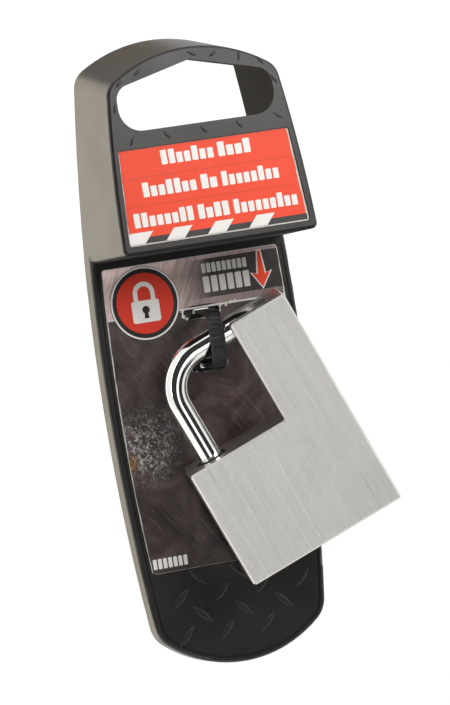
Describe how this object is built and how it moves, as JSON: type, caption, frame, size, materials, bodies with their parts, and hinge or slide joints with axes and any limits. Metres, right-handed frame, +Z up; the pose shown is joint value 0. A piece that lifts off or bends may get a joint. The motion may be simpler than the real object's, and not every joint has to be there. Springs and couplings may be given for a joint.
{
  "type": "trailer coupler lock",
  "caption": "L-shaped stainless padlock with a bent round shackle for a trailer coupler latch, strapped by a cable tie to its hollow moulded hanger.",
  "frame": {"origin": "seat of the display peg: the peak of the hang opening, in the plane of the hanger's back rim", "axes": "+X to the right seen from the front, +Y to the back, +Z up along the hanger"},
  "size_m": [0.0894, 0.0412, 0.2107],
  "materials": {
    "hanger_plastic": "semi-gloss moulded",
    "label_print": "printed coated card",
    "tie_nylon": "satin",
    "key_metal": "nickel plated",
    "stainless_body": "brushed along the arm",
    "hard_steel": "ground",
    "seal_rubber": "matte",
    "cylinder_brass": "machined",
    "shackle_chrome": "polished"
  },
  "bodies": {
    "hanger": {"hanger_shell": "hanger_plastic", "upper_label": "label_print", "lower_label": "label_print", "cable_tie": "tie_nylon", "key_up": "key_metal", "key_down": "key_metal"},
    "shackle": {"shackle": "shackle_chrome"},
    "lock_case": {"lock_body": "stainless_body", "shackle_stop_pin": "hard_steel", "cylinder_pin": "hard_steel", "shackle_seal": "seal_rubber", "shackle_spring": "hard_steel", "cylinder_sleeve": "cylinder_brass"},
    "plug": {"lock_plug": "cylinder_brass", "plug_clip": "hard_steel", "drive_cam": "hard_steel", "wafer_1": "cylinder_brass", "wafer_2": "cylinder_brass", "wafer_3": "cylinder_brass", "wafer_4": "cylinder_brass", "wafer_5": "cylinder_brass", "wafer_6": "cylinder_brass"},
    "bolt": {"locking_bolt": "hard_steel"}
  },
  "joints": [
    {"name": "lock_swing", "type": "hinge", "parent": "hanger", "child": "shackle", "pos_m": [-0.00276, -0.02471, -0.0926], "axis": [0, -1, 0], "range_deg": [-26, 8]},
    {"name": "case_drop", "type": "slide", "parent": "shackle", "child": "lock_case", "axis": [0.3971, 0, -0.9178], "range_m": [0, 0.016]},
    {"name": "plug_turn", "type": "hinge", "parent": "lock_case", "child": "plug", "pos_m": [0.0273, -0.02457, -0.16328], "axis": [-0.3971, 0, 0.9178], "range_deg": [0, 90]},
    {"name": "bolt_slide", "type": "slide", "parent": "lock_case", "child": "bolt", "axis": [-0.88, 0.284, -0.3808], "range_m": [0, 0.0029]}
  ],
  "couplings": [
    {"joint": "bolt_slide", "follows": "plug_turn", "m_per_rad": 0.0018}
  ]
}
